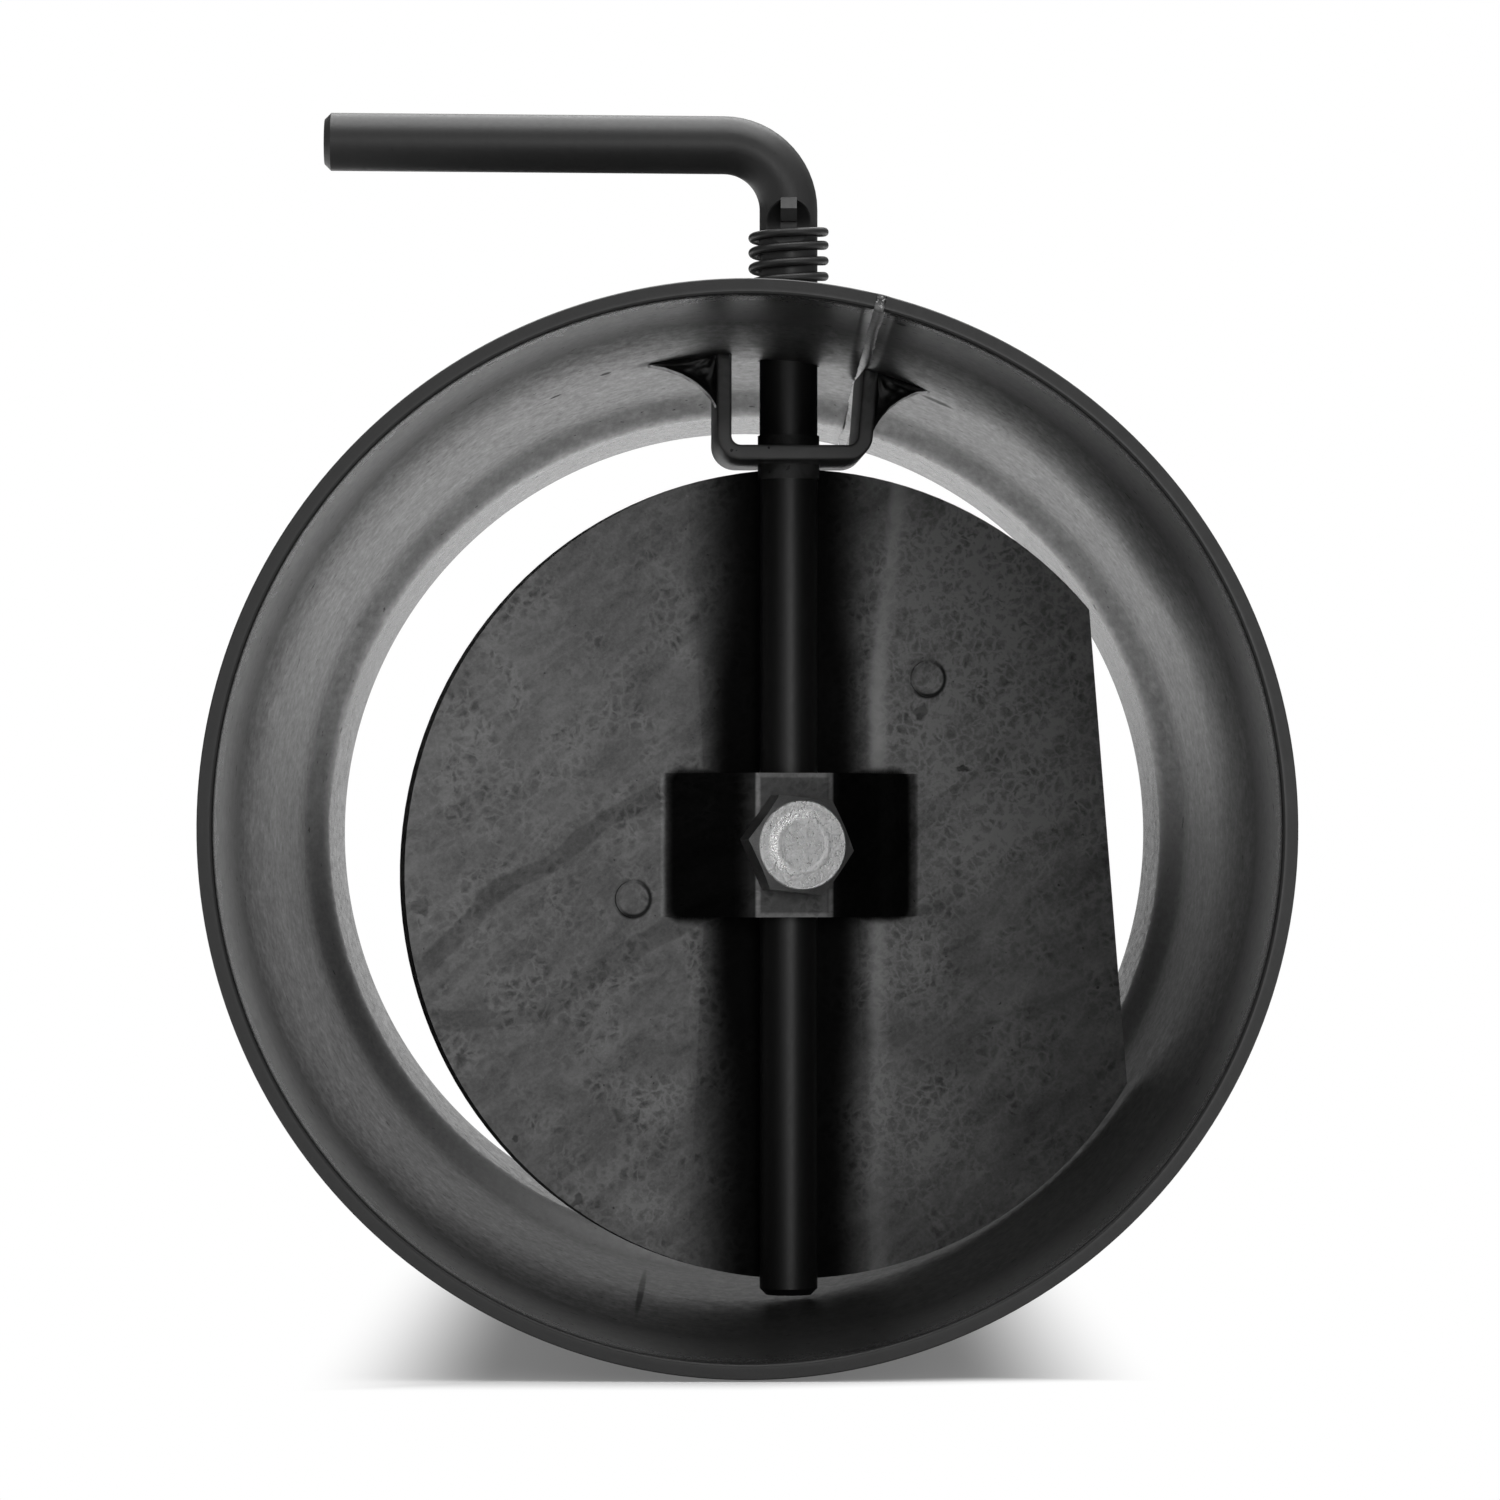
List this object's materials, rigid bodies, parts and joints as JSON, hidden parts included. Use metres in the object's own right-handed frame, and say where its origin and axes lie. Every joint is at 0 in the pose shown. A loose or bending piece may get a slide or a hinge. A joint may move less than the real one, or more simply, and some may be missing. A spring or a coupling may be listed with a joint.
{
  "type": "stovepipe section with damper",
  "caption": "Round steel stovepipe section with socket, spigot and a damper disc on a sprung spindle with a bent handle, held by a clamp bolt.",
  "frame": {"origin": "centre of the socket's mouth, on the pipe's axis", "axes": "+Y along the pipe's axis from the socket to the spigot, +Z along the spindle to its handle, +X to the right seen from the socket"},
  "size_m": [0.1342, 0.25, 0.1663],
  "materials": {
    "stove_paint": "matte",
    "oiled_sheet": "satin",
    "dark_bar": "satin",
    "spring_wire": "satin",
    "zinc_plate": "satin"
  },
  "bodies": {
    "pipe": {"pipe_shell": "stove_paint", "seam_weld": "stove_paint", "bearing_strap": "stove_paint", "strap_weld_left": "stove_paint", "strap_weld_right": "stove_paint"},
    "damper": {"spindle": "dark_bar", "spring": "spring_wire", "damper_disc": "oiled_sheet", "clamp_bolt": "zinc_plate"}
  },
  "joints": [
    {"name": "damper_turn", "type": "hinge", "parent": "pipe", "child": "damper", "pos_m": [0.00593, 0.12, 0], "axis": [0, 0, 1], "range_deg": [0, 304]}
  ]
}
